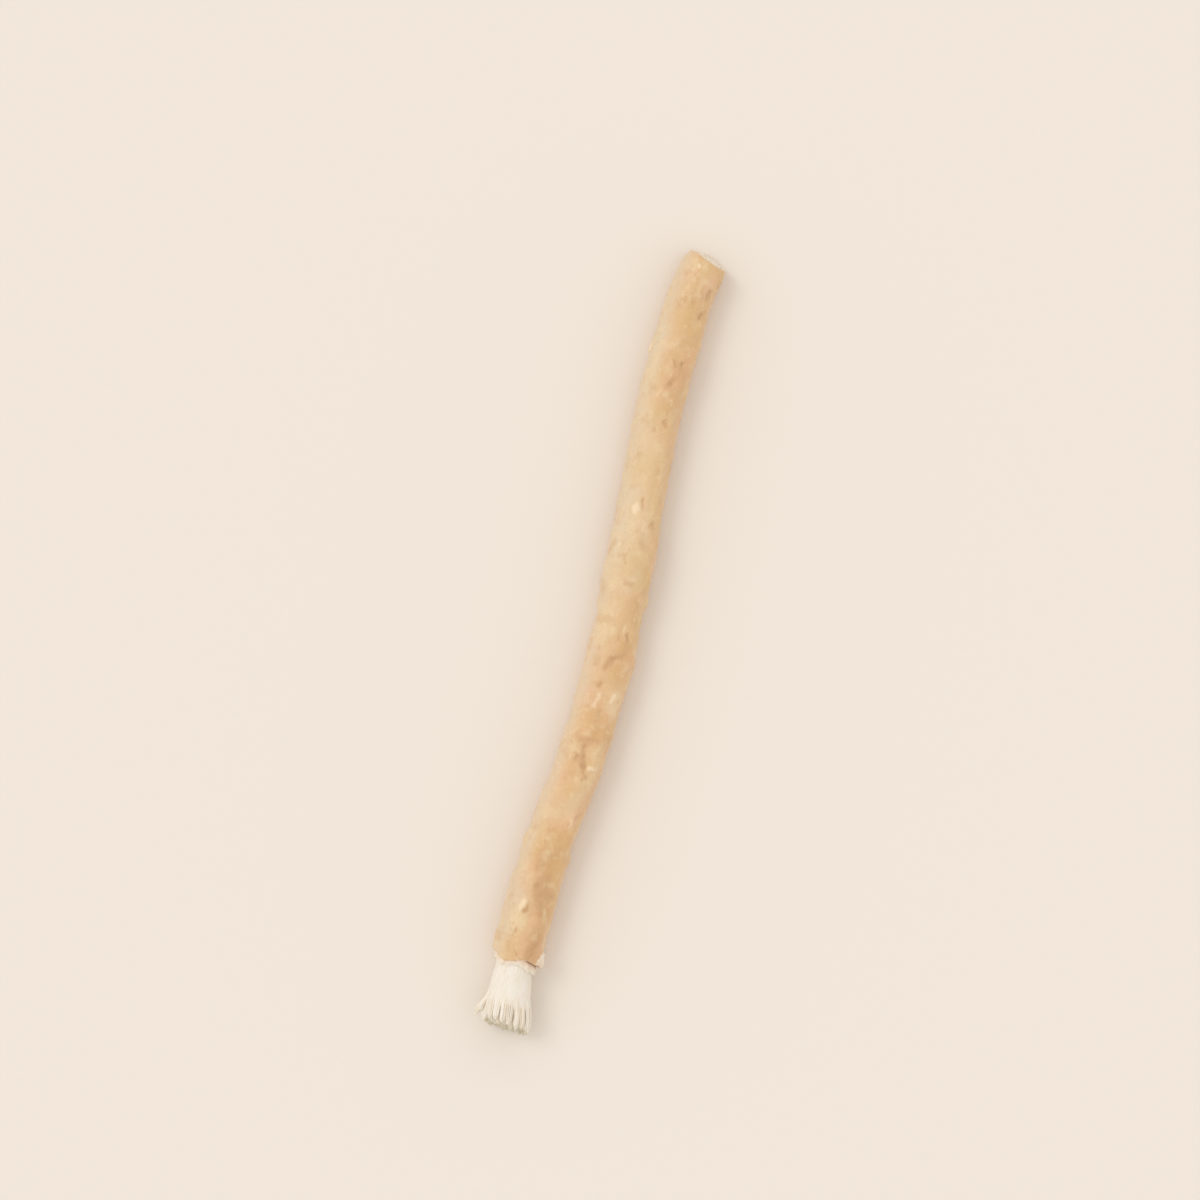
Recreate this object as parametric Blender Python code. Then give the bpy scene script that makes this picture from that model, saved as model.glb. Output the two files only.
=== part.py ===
"""Miswak stick: a length of root lying on its side along X, its brush at -X and its cut end at +X.

Two pieces: the bark, a sleeve that ends in a ragged peeled edge, and the wood inside it, whose bared
end is split into bristles. The origin is under the middle of the stick, on the surface it lies on.
"""

import bisect
import math
import random

import bmesh
import bpy
from mathutils import Vector, noise

MM = 0.001

# The stick, measured along it from the brush's tips: station 0 is the tips, LENGTH is the cut end
LENGTH = 150 * MM
WOOD_RADIUS = 3.45 * MM
GAP = 0.3 * MM
BORE_RADIUS = WOOD_RADIUS + GAP
MEAN_GIRTH = 4.5 * MM

# How the middle line wanders: station and distance to +Y, in mm
BOW = [(0, 0.0), (3, 0.25), (6, 0.65), (12, 1.15), (24, 1.2), (38, 0.5), (52, -1.1), (70, -1.9), (90, -1.05),
       (108, 0.1), (124, 0.9), (140, 0.25), (150, -0.6)]

# Outer radius of the bark along the stick, in mm
GIRTH = [(12, 4.75), (16, 4.78), (21, 4.65), (27, 4.75), (33, 4.5), (44, 4.6), (50, 4.5), (56, 4.55),
         (62, 4.45), (68, 4.5), (74, 4.6), (80, 4.32), (86, 4.65), (93, 4.65), (100, 4.4), (107, 4.33),
         (115, 4.38), (124, 4.45), (130, 4.55), (139, 4.3), (150, 4.25)]

# Height of the bark's underside over the surface, in mm: where it would be below 0 it is pressed flat,
# which leaves the stick resting on three low spots
LIFT = [(0, 0.2), (13, 0.2), (21, -0.16), (32, 0.15), (48, 0.25), (62, 0.12), (70, -0.16), (78, 0.12),
        (104, 0.28), (128, 0.12), (138, -0.16), (145, 0.02), (150, 0.1)]

# Where the outer bark ends at the brush: angle round the stick from +Z towards +Y, and station in mm
PEELED_EDGE = [(-180, 14.5), (-140, 13.8), (-95, 13.3), (-75, 13.3), (-50, 13.8), (-25, 14.1), (-12, 14.2),
               (-4, 13.9), (8, 13.6), (20, 13.3), (38, 13.5), (60, 14.4), (85, 14.9), (110, 14.3),
               (140, 13.6), (165, 14.2)]
PLAIN_EDGE = 14 * MM
EDGE_REACH = 5 * MM

# How the bark steps down at that edge: distance back from it along the stick, and depth under the surface.
# The last three points are the rim of the inner bark, which reaches out further at -Y.
EDGE_STEP = [(2.3, 0), (1.1, 0), (0.4, 0), (0.08, 0.14), (0, 0.45), (-0.5, 0.51), (-0.95, 0.57), (-1.05, 0.68)]
RIM_DEPTH = 0.5
RIM_LEAN = 0.35

# The bark there is split in two lobes, and the one at -Y stands loose over the other. The split runs from
# the edge: station in mm and angle.
SPLIT = [(13.6, -25), (14.1, -15), (14.7, 1), (16.1, 13), (17.5, 18)]
LOBE_HEIGHT = 0.34 * MM
LOBE_SOFTNESS = 9
LOBE_FAR_SIDE = -110
LOBE_FADE = 40
LOBE_REACH = 3.6 * MM

# Cut end, made with a knife in three strokes: where each facet crosses the middle line, in mm, and how
# much it leans along the stick per unit of Y and of height
CUT_FACETS = [(149.95, 0.0, -0.06), (149.56, 0.42, -0.19), (155.2, -1.77, -0.05)]
CUT_REACH = 8 * MM

# Knobs and pits of the bark: station, angle, half-width and height, in mm and degrees
SCARS = [(143.0, -51, 1.5, -0.30), (138.6, -42, 1.3, -0.22), (128.5, -36, 1.2, -0.35), (124.7, -18, 1.6, -0.30),
         (130.4, 92, 1.3, 0.30), (121.2, 88, 1.5, -0.26), (101.0, 7, 1.3, 0.34), (101.3, -24, 1.6, -0.32),
         (96.3, 62, 2.0, 0.28), (117.0, -26, 1.4, -0.25), (107.2, -54, 1.6, -0.22), (95.2, -14, 1.4, 0.25),
         (77.2, -36, 1.3, -0.30), (71.9, -8, 2.0, -0.34), (67.3, 8, 1.3, -0.30), (65.5, -34, 2.1, 0.36),
         (64.0, 18, 1.4, -0.25), (52.0, -35, 1.7, 0.34), (55.4, -7, 1.8, -0.38), (41.5, -33, 1.6, 0.32),
         (36.2, 88, 1.8, 0.40), (29.0, -35, 2.4, -0.32), (23.9, 12, 1.7, 0.42), (22.0, -6, 1.3, -0.34),
         (16.9, -18, 1.9, 0.38), (46.0, 100, 2.2, 0.26), (34.0, -92, 1.9, 0.36), (58.0, -98, 2.0, 0.30),
         (84.0, -95, 2.2, 0.34), (112.0, -110, 2.0, 0.30), (133.0, -100, 1.8, 0.34), (44.0, 150, 2.0, -0.30),
         (90.0, 140, 1.8, 0.32), (118.0, 165, 2.2, -0.32), (60.0, 128, 1.7, 0.30), (100.0, -150, 2.4, -0.35),
         (80.0, -165, 1.6, -0.28), (30.0, -140, 1.9, 0.30), (126.0, -140, 2.0, -0.28), (52.0, -160, 1.8, 0.26),
         (134.4, 84, 2.5, -0.40), (127.8, 88, 1.9, -0.44), (115.4, 86, 1.5, 0.22), (103.8, 86, 2.4, -0.27),
         (98.8, 86, 1.8, -0.18), (82.0, 86, 1.1, 0.25), (63.6, 86, 1.6, 0.22), (31.4, 90, 2.2, -0.34),
         (19.4, 84, 1.4, -0.25)]
SCAR_FALL = 2.2

# Broad waves of the bark and the wrinkles on them: length, height and how many fit round the stick
WAVE_SIZE = 8.5 * MM
WAVE_HEIGHT = 0.3 * MM
WAVES_AROUND = 1.25
WRINKLE_SIZE = 3.8 * MM
WRINKLE_HEIGHT = 0.2 * MM
WRINKLES_AROUND = 2.75

# Mesh of the bark: its sides, and how far apart its rings are outside and in the bore
BARK_SIDES = 46
BARK_PITCH = 2.2 * MM
BORE_PITCH = 9 * MM

# Outer radius of the bared wood and its brush, station and radius in mm
BRUSH_GIRTH = [(0, 4.6), (1.5, 4.75), (3.2, 4.8), (5, 4.5), (6.5, 4.22), (8, 4.08), (9.8, 3.92), (10.8, 3.72),
               (11.7, 3.45)]

# Brush: rings of bristles from the middle outwards, sunk into the core at their roots
RING_COUNTS = [1, 5, 10, 15, 20]
ROOT_STATION = 9.4 * MM
ROOT_SINK = 0.3 * MM
FREE_STATION = 5.5 * MM
TIP_STATION = 0.72 * MM
TIP_RAGGED = 0.6 * MM
TIP_SLANT = 0.2
TIP_ACROSS = 0.05
TIP_WANDER = 0.14
BRISTLE_RADIUS = 0.63 * MM
BRISTLE_SIDES = 6
BRISTLE_STEPS = 6
TIP_TAPER = 0.75

# Bristles that splay out of the brush at +Y: their angles, where they leave it and how far they reach
SPLAYED_ANGLES = [84, 97, 90]
SPLAYED_STATION = 2.4 * MM
SPLAYED_SPACING = 0.5 * MM
LEAVING_STATION = 5.6 * MM
SPLAYED_REACH = 1.9 * MM
SPLAYED_RADIUS = 0.48 * MM

# Core of the wood: the blunt nose between the bristles, as (station, radius) in mm, and its mesh
NOSE = [(4.4, 0.0), (4.4, 2.4), (4.7, 3.3), (5.2, 3.85)]
CORE_START = 5.8 * MM
CORE_END = 11.4 * MM
CORE_INSET = 0.2 * MM
CORE_PITCH = 1.1 * MM
WOOD_SIDES = 30
WOOD_PITCH = 9 * MM
FACE_RINGS = [0.75, 0.5, 0.25, 0]

# Colours (linear) and roughness
BARK_COLOUR = (0.716, 0.465, 0.250, 1)
WOOD_COLOUR = (0.860, 0.791, 0.665, 1)
BARK_ROUGHNESS = 0.85
WOOD_ROUGHNESS = 0.7


def through(points, at):
    """Value at a place of a smooth curve through hand-chosen points, in the points' own units."""
    places = [p[0] for p in points]
    at = min(max(at, places[0]), places[-1])
    i = min(max(bisect.bisect_right(places, at) - 1, 0), len(points) - 2)

    def slope(k):
        low, high = max(k - 1, 0), min(k + 1, len(points) - 1)
        return (points[high][1] - points[low][1]) / (points[high][0] - points[low][0])

    (x0, y0), (x1, y1) = points[i], points[i + 1]
    span = x1 - x0
    t = (at - x0) / span
    return ((1 + 2 * t) * (1 - t) ** 2 * y0 + t * (1 - t) ** 2 * span * slope(i)
            + t * t * (3 - 2 * t) * y1 + t * t * (t - 1) * span * slope(i + 1))


def along(points, station):
    """The same curve for a list in mm, read at a station in metres."""
    return through(points, station / MM) * MM


def smooth(t):
    """Ease from 0 to 1."""
    t = min(max(t, 0.0), 1.0)
    return t * t * (3 - 2 * t)


def steps(start, end, pitch):
    """Even stations from start to end, both included."""
    count = max(1, round(abs(end - start) / pitch))
    return [start + (end - start) * k / count for k in range(count + 1)]


def middle(station):
    """Middle line of the stick: its place in Y and Z."""
    return along(BOW, station), along(GIRTH, station) + along(LIFT, station)


def peeled_edge(angle):
    """Station where the outer bark ends, round the stick."""
    first, last = PEELED_EDGE[0], PEELED_EDGE[-1]
    ring = [(last[0] - 360, last[1])] + PEELED_EDGE + [(first[0] + 360, first[1])]
    return through(ring, math.degrees(angle)) * MM


def relief(station, angle):
    """Height of the bark's surface over its girth: waves, wrinkles, knobs and pits."""
    outwards = Vector((0, math.sin(angle), math.cos(angle)))
    height = WAVE_HEIGHT * noise.noise(outwards * WAVES_AROUND + Vector((station / WAVE_SIZE, 0, 0)))
    height += WRINKLE_HEIGHT * noise.noise(outwards * WRINKLES_AROUND + Vector((station / WRINKLE_SIZE, 7, 0)))
    for place, at, size, scar in SCARS:
        turn = (math.degrees(angle) - at + 180) % 360 - 180
        across = math.radians(turn) * MEAN_GIRTH
        far = math.hypot(station - place * MM, across) / (size * MM)
        if far < 2:
            height += scar * MM * math.exp(-SCAR_FALL * far * far)
    return height


def lobe_lift(station, angle):
    """How far the loose lobe beside the split stands off."""
    turn = math.degrees(angle)
    lift = LOBE_HEIGHT * smooth((through(SPLIT, station / MM) - turn) / LOBE_SOFTNESS + 0.5)
    lift *= smooth((turn - LOBE_FAR_SIDE) / LOBE_FADE)
    return lift * smooth((PLAIN_EDGE + LOBE_REACH - station) / LOBE_REACH)


def cut_shift(station, y, z):
    """How far the facets of the cut move a point near the end along the stick."""
    end = min(at * MM + across * y + down * z for at, across, down in CUT_FACETS)
    return (end - LENGTH) * smooth((station - LENGTH + CUT_REACH) / CUT_REACH)


def point(station, radius, angle):
    """Point at a radius and an angle round the middle line, never below the surface."""
    y, z = radius * math.sin(angle), radius * math.cos(angle)
    middle_y, middle_z = middle(station)
    station += cut_shift(station, y, z)
    return Vector((station - LENGTH / 2, middle_y + y, max(middle_z + z, 0.0)))


def turned(profile, sides):
    """Closed solid turned round X from (station, radius) pairs: a loop, or a chain with its ends on X."""
    bm = bmesh.new()
    chain = [bm.verts.new((station, 0, radius)) for station, radius in profile]
    edges = [bm.edges.new(pair) for pair in zip(chain, chain[1:])]
    if profile[0][1] > 0:
        edges.append(bm.edges.new((chain[-1], chain[0])))
    bmesh.ops.spin(bm, geom=chain + edges, cent=(0, 0, 0), axis=(1, 0, 0), angle=2 * math.pi,
                   steps=sides, use_merge=True)
    bmesh.ops.remove_doubles(bm, verts=bm.verts, dist=MM / 1000)
    bmesh.ops.recalc_face_normals(bm, faces=bm.faces)
    return bm


def polar(vert):
    """Station, radius and angle of a turned vertex."""
    return vert.co.x, math.hypot(vert.co.y, vert.co.z), math.atan2(vert.co.y, vert.co.z)


def material(name, colour, roughness):
    """Plain finish of one piece."""
    made = bpy.data.materials.new(name)
    made.use_nodes = True
    shader = made.node_tree.nodes["Principled BSDF"]
    shader.inputs["Base Color"].default_value = colour
    shader.inputs["Roughness"].default_value = roughness
    shader.inputs["Metallic"].default_value = 0.0
    return made


def finish(bm, name, colour, roughness):
    """Turn a bmesh into a named object with its own material, shaded smooth."""
    mesh = bpy.data.meshes.new(name)
    bm.to_mesh(mesh)
    bm.free()
    mesh.materials.append(material(name, colour, roughness))
    mesh.shade_smooth()
    mesh.set_sharp_from_angle(angle=math.radians(40))
    piece = bpy.data.objects.new(name, mesh)
    bpy.context.collection.objects.link(piece)
    return piece


def bark():
    """Bark sleeve: turned from its wall's outline, then bent, wrinkled and torn at the peeled edge."""
    last_ring = PLAIN_EDGE + 2 * BARK_PITCH
    outside = [(station, MEAN_GIRTH) for station in steps(LENGTH, last_ring, BARK_PITCH)]
    edge = [(PLAIN_EDGE + back * MM, MEAN_GIRTH - depth * MM) for back, depth in EDGE_STEP]
    bore = [(station, BORE_RADIUS) for station in steps(edge[-1][0], LENGTH, BORE_PITCH)]
    bm = turned(outside + edge + bore, BARK_SIDES)
    for vert in bm.verts:
        station, radius, angle = polar(vert)
        near_edge = smooth((PLAIN_EDGE + EDGE_REACH - station) / EDGE_REACH)
        in_rim = MEAN_GIRTH - radius > RIM_DEPTH * MM
        if in_rim and station < PLAIN_EDGE:
            station -= (station - PLAIN_EDGE) * RIM_LEAN * math.sin(angle)
        station += (peeled_edge(angle) - PLAIN_EDGE) * near_edge
        if radius > BORE_RADIUS + MM / 1000:
            radius += along(GIRTH, station) - MEAN_GIRTH + relief(station, angle)
        if not in_rim:
            radius += lobe_lift(station, angle)
        vert.co = point(station, radius, angle)
    return finish(bm, "bark", BARK_COLOUR, BARK_ROUGHNESS)


def bristle(share, root_angle, tip_angle, tip_station, radius, reach):
    """One bristle: a slim prism from its root in the core to its blunt tip, share of the way out."""
    bm = bmesh.new()
    bmesh.ops.create_cone(bm, cap_ends=True, segments=BRISTLE_SIDES, radius1=1, radius2=TIP_TAPER, depth=1)
    sides = [edge for edge in bm.edges if abs(edge.verts[0].co.z - edge.verts[1].co.z) > 0.5]
    bmesh.ops.subdivide_edges(bm, edges=sides, cuts=BRISTLE_STEPS - 1, use_grid_fill=True)
    for vert in bm.verts:
        t = vert.co.z + 0.5
        station = ROOT_STATION + (tip_station - ROOT_STATION) * t
        sink = ROOT_SINK * smooth((station - FREE_STATION) / (ROOT_STATION - FREE_STATION))
        out = share * (along(BRUSH_GIRTH, station) - radius - sink)
        out += reach * smooth((LEAVING_STATION - station) / (LEAVING_STATION - tip_station))
        angle = root_angle + (tip_angle - root_angle) * t
        vert.co = point(station, out, angle) + Vector((0, vert.co.x, vert.co.y)) * radius
    bmesh.ops.recalc_face_normals(bm, faces=bm.faces)
    mesh = bpy.data.meshes.new("bristle")
    bm.to_mesh(mesh)
    bm.free()
    return mesh


def bristles():
    """Every bristle of the brush: its share of the way out, angles, tip, thickness and outward reach."""
    draw = random.Random(11)
    for ring_number, count in enumerate(RING_COUNTS):
        share = ring_number / (len(RING_COUNTS) - 1)
        phase = draw.random()
        for k in range(count):
            angle = 2 * math.pi * (k + phase) / count
            tip_angle = angle + draw.uniform(-TIP_WANDER, TIP_WANDER) * 2 * math.pi / count
            slant = TIP_SLANT * math.cos(tip_angle) + TIP_ACROSS * math.sin(tip_angle)
            tip_station = TIP_STATION + draw.uniform(0, TIP_RAGGED) + slant * share * BRUSH_GIRTH[0][1] * MM
            yield share, angle, tip_angle, tip_station, BRISTLE_RADIUS * draw.uniform(0.92, 1.08), 0.0
    for k, degrees in enumerate(SPLAYED_ANGLES):
        angle = math.radians(degrees)
        reach = SPLAYED_REACH * (1 - 0.15 * k)
        yield 1.0, angle, angle, SPLAYED_STATION + k * SPLAYED_SPACING, SPLAYED_RADIUS, reach


def wood():
    """Wood: a core along the whole stick, with the bristles of its bared end joined to it."""
    profile = [(station * MM, radius * MM) for station, radius in NOSE]
    profile += [(station, along(BRUSH_GIRTH, station) - CORE_INSET)
                for station in steps(CORE_START, CORE_END, CORE_PITCH)]
    profile += [(station, WOOD_RADIUS) for station in steps(CORE_END + CORE_PITCH, LENGTH, WOOD_PITCH)]
    profile += [(LENGTH, WOOD_RADIUS * share) for share in FACE_RINGS]
    bm = turned(profile, WOOD_SIDES)
    for vert in bm.verts:
        vert.co = point(*polar(vert))
    core = finish(bm, "wood", WOOD_COLOUR, WOOD_ROUGHNESS)
    brush = bpy.data.collections.new("brush")
    bpy.context.scene.collection.children.link(brush)
    for one in bristles():
        brush.objects.link(bpy.data.objects.new("bristle", bristle(*one)))
    join = core.modifiers.new("join", "BOOLEAN")
    join.operation = "UNION"
    join.operand_type = "COLLECTION"
    join.collection = brush
    join.solver = "EXACT"
    core.data = bpy.data.meshes.new_from_object(core.evaluated_get(bpy.context.evaluated_depsgraph_get()))
    core.modifiers.clear()
    for piece in list(brush.objects):
        bpy.data.objects.remove(piece)
    bpy.data.collections.remove(brush)
    return core


def main():
    for thing in list(bpy.data.objects):
        bpy.data.objects.remove(thing)
    bark()
    wood()


main()
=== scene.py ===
import bisect
import math
import random

import bmesh
import bpy
from mathutils import Matrix, Vector, noise


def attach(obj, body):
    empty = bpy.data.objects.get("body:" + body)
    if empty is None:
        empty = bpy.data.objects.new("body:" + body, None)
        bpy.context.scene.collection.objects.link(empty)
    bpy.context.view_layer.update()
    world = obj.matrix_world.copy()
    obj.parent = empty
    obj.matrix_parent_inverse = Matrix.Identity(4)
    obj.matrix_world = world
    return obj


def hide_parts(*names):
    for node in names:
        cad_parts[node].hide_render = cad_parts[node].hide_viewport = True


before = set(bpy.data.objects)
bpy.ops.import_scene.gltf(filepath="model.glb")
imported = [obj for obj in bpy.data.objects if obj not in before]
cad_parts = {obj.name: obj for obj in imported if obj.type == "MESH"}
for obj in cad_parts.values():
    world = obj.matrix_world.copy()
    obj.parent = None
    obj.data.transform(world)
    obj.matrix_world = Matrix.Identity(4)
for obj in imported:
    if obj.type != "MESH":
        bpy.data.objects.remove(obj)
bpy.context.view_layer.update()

MM = 0.001

# The picture. The stick lies on a pale surface and the camera looks straight down on it, turned so that
# the brush points to the lower left. A soft light comes from the upper left of the picture.
STICK_LENGTH = 150 * MM
STICK_IN_PICTURE = 804
PICTURE_WIDTH = 1200
STICK_LEAN = math.radians(14.33)
PICTURE_CENTRE = Vector((7.5 * MM, 2.6 * MM, 5 * MM))
LENS = 150
SENSOR = 36

picture_up = Vector((math.cos(STICK_LEAN), math.sin(STICK_LEAN), 0))
picture_right = Vector((math.sin(STICK_LEAN), -math.cos(STICK_LEAN), 0))
picture_size = PICTURE_WIDTH * STICK_LENGTH / STICK_IN_PICTURE
camera = bpy.data.objects.new("camera", bpy.data.cameras.new("camera"))
camera.data.lens = LENS
camera.data.sensor_width = SENSOR
turn = Matrix((picture_right, picture_up, Vector((0, 0, 1)))).transposed().to_4x4()
above = PICTURE_CENTRE + Vector((0, 0, picture_size * LENS / SENSOR))
camera.matrix_world = Matrix.Translation(above) @ turn
bpy.context.collection.objects.link(camera)
bpy.context.scene.camera = camera
bpy.context.scene.view_settings.view_transform = "Standard"

KEY_HEIGHT = math.radians(54)
KEY_STRENGTH = 0.52
KEY_SOFTNESS = math.radians(26)
KEY_COLOUR = (0.96, 0.98, 1.0)
KEY_LEAN = 0.75
AIR_COLOUR = (1.0, 0.99, 0.975, 1)
AIR_STRENGTH = 0.884

key = bpy.data.objects.new("window_light", bpy.data.lights.new("window_light", "SUN"))
key.data.energy = KEY_STRENGTH
key.data.angle = KEY_SOFTNESS
key.data.color = KEY_COLOUR
towards = (picture_up * KEY_LEAN - picture_right).normalized() * math.cos(KEY_HEIGHT)
key.rotation_euler = Vector((towards.x, towards.y, math.sin(KEY_HEIGHT))).to_track_quat("Z", "Y").to_euler()
bpy.context.collection.objects.link(key)
air = bpy.data.worlds.new("room")
air.use_nodes = True
air.node_tree.nodes["Background"].inputs["Color"].default_value = AIR_COLOUR
air.node_tree.nodes["Background"].inputs["Strength"].default_value = AIR_STRENGTH
bpy.context.scene.world = air


# The surface it lies on: a wide sheet of matt, warm white card. It lies flat under the stick and reaches
# far past the picture's edges, so it has no edge in view.
CARD_SIZE = 3.0
CARD_ROUGHNESS = 0.9
CARD_SHINE = 0.2


def tint(red, green, blue):
    """A picture colour, 0 to 255, as the linear colour that a shader takes."""
    parts = [c / 255 for c in (red, green, blue)]
    return tuple(c / 12.92 if c < 0.04045 else ((c + 0.055) / 1.055) ** 2.4 for c in parts) + (1,)


def plain_material(name):
    """A material with a Principled shader alone, and that shader."""
    made = bpy.data.materials.new(name)
    made.use_nodes = True
    return made, made.node_tree.nodes["Principled BSDF"]


CARD_WHITE = tint(240, 230, 218)

card_bm = bmesh.new()
bmesh.ops.create_grid(card_bm, x_segments=1, y_segments=1, size=CARD_SIZE / 2)
card_mesh = bpy.data.meshes.new("card")
card_bm.to_mesh(card_mesh)
card_bm.free()
card_material, card_shader = plain_material("warm_white_card")
card_shader.inputs["Base Color"].default_value = CARD_WHITE
card_shader.inputs["Roughness"].default_value = CARD_ROUGHNESS
card_shader.inputs["Specular IOR Level"].default_value = CARD_SHINE
card_mesh.materials.append(card_material)
card = bpy.data.objects.new("card", card_mesh)
bpy.context.collection.objects.link(card)


# Root bark: a tan sleeve, grown round the wood and a little crooked, with knobs, rootlet scars and pores.
# It is cut with the stick at one end and peeled back in two torn lobes at the other, over its inner bark.
# Stations are in mm from the brush's tips, and angles in degrees from the top of the stick towards +Y.
BORE_RADIUS = 3.56 * MM
MEAN_GIRTH = 4.5 * MM
TINY = MM / 1000

# How far the middle line wanders towards +Y, in mm, by station
BOW = [(0, 0.0), (3, 0.25), (6, 0.65), (12, 1.15), (24, 1.2), (38, 0.5), (52, -1.1), (70, -1.9),
       (90, -1.05), (108, 0.1), (124, 0.9), (140, 0.25), (150, -0.6)]

# Outer radius of the bark, in mm, by station
GIRTH = [(12, 4.75), (16, 4.78), (21, 4.65), (27, 4.75), (33, 4.5), (44, 4.6), (50, 4.5), (56, 4.55),
         (62, 4.45), (68, 4.5), (74, 4.6), (80, 4.32), (86, 4.65), (93, 4.65), (100, 4.4), (107, 4.33),
         (115, 4.38), (124, 4.45), (130, 4.55), (139, 4.3), (150, 4.25)]

# Height of the bark's underside over the surface, in mm, by station: below 0 it is pressed flat
LIFT = [(0, 0.2), (13, 0.2), (21, -0.16), (32, 0.15), (48, 0.25), (62, 0.12), (70, -0.16), (78, 0.12),
        (104, 0.28), (128, 0.12), (138, -0.16), (145, 0.02), (150, 0.1)]

# Where the outer bark ends at the brush: station by angle
PEELED_EDGE = [(-180, 14.5), (-140, 13.8), (-95, 13.3), (-75, 13.3), (-50, 13.8), (-25, 14.1), (-12, 14.2),
               (-4, 13.9), (8, 13.6), (20, 13.3), (38, 13.5), (60, 14.4), (85, 14.9), (110, 14.3),
               (140, 13.6), (165, 14.2)]
PLAIN_EDGE = 14 * MM
EDGE_REACH = 5 * MM

# How the bark steps down at that edge to the inner bark's rim: distance back from it, and depth, in mm
EDGE_STEP = [(0.75, 0), (0.58, 0), (0.42, 0), (0.28, 0.02), (0.14, 0.07), (0.04, 0.16), (0, 0.27),
             (0.06, 0.37), (0.14, 0.44), (0.08, 0.5), (-0.02, 0.505), (-0.1, 0.505), (-0.18, 0.51),
             (-0.28, 0.52), (-0.4, 0.54), (-0.52, 0.57), (-0.64, 0.61), (-0.76, 0.66), (-0.88, 0.72),
             (-0.96, 0.78), (-1.0, 0.84), (-0.98, 0.9)]
RIM_DEPTH = 0.47

# How far the rim reaches out past that edge, as a multiple of the step's own reach, by angle
RIM_REACH = [(-180, 1.0), (-90, 1.6), (-60, 1.6), (-35, 1.6), (-13, 1.25), (8, 0.75), (30, 0.9), (60, 1.3),
             (90, 1.8), (130, 1.2)]

# The split between the two lobes, from the edge: station and angle
SPLIT = [(13.6, -25), (14.1, -15), (14.7, 1), (16.1, 13), (17.5, 18)]
LOBE_HEIGHT = 0.34 * MM
LOBE_SOFTNESS = 4.5
LOBE_FAR_SIDE = -110
LOBE_FADE = 40
LOBE_REACH = 3.6 * MM

# The cut's facets: where each crosses the middle line, in mm, and how far it leans in Y and in Z
CUT_FACETS = [(149.95, 0.0, -0.06), (149.56, 0.42, -0.19), (155.2, -1.77, -0.05)]
CUT_REACH = 8 * MM

# Knobs, scars and dents: station, angle, size and height, in mm
SCARS = [(143.0, -51, 1.5, -0.30), (138.6, -42, 1.3, -0.22), (128.5, -36, 1.2, -0.35),
         (124.7, -18, 1.6, -0.30), (130.4, 92, 1.3, 0.30), (121.2, 88, 1.5, -0.26), (101.0, 7, 1.3, 0.34),
         (101.3, -24, 1.6, -0.32), (96.3, 62, 2.0, 0.28), (117.0, -26, 1.4, -0.25),
         (107.2, -54, 1.6, -0.22), (95.2, -14, 1.4, 0.25), (77.2, -36, 1.3, -0.30), (71.9, -8, 2.0, -0.34),
         (67.3, 8, 1.3, -0.30), (65.5, -34, 2.1, 0.36), (64.0, 18, 1.4, -0.25), (52.0, -35, 1.7, 0.34),
         (55.4, -7, 1.8, -0.38), (41.5, -33, 1.6, 0.32), (36.2, 88, 1.8, 0.40), (29.0, -35, 2.4, -0.32),
         (23.9, 12, 1.7, 0.42), (22.0, -6, 1.3, -0.34), (16.9, -18, 1.9, 0.38), (46.0, 100, 2.2, 0.26),
         (34.0, -92, 1.9, 0.36), (58.0, -98, 2.0, 0.30), (84.0, -95, 2.2, 0.34), (112.0, -110, 2.0, 0.30),
         (133.0, -100, 1.8, 0.34), (44.0, 150, 2.0, -0.30), (90.0, 140, 1.8, 0.32),
         (118.0, 165, 2.2, -0.32), (60.0, 128, 1.7, 0.30), (100.0, -150, 2.4, -0.35),
         (80.0, -165, 1.6, -0.28), (30.0, -140, 1.9, 0.30), (126.0, -140, 2.0, -0.28),
         (52.0, -160, 1.8, 0.26), (134.4, 84, 2.5, -0.40), (127.8, 88, 1.9, -0.44), (115.4, 86, 1.5, 0.22),
         (103.8, 86, 2.4, -0.27), (98.8, 86, 1.8, -0.18), (82.0, 86, 1.1, 0.25), (63.6, 86, 1.6, 0.22),
         (31.4, 90, 2.2, -0.34), (19.4, 84, 1.4, -0.25)]

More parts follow.
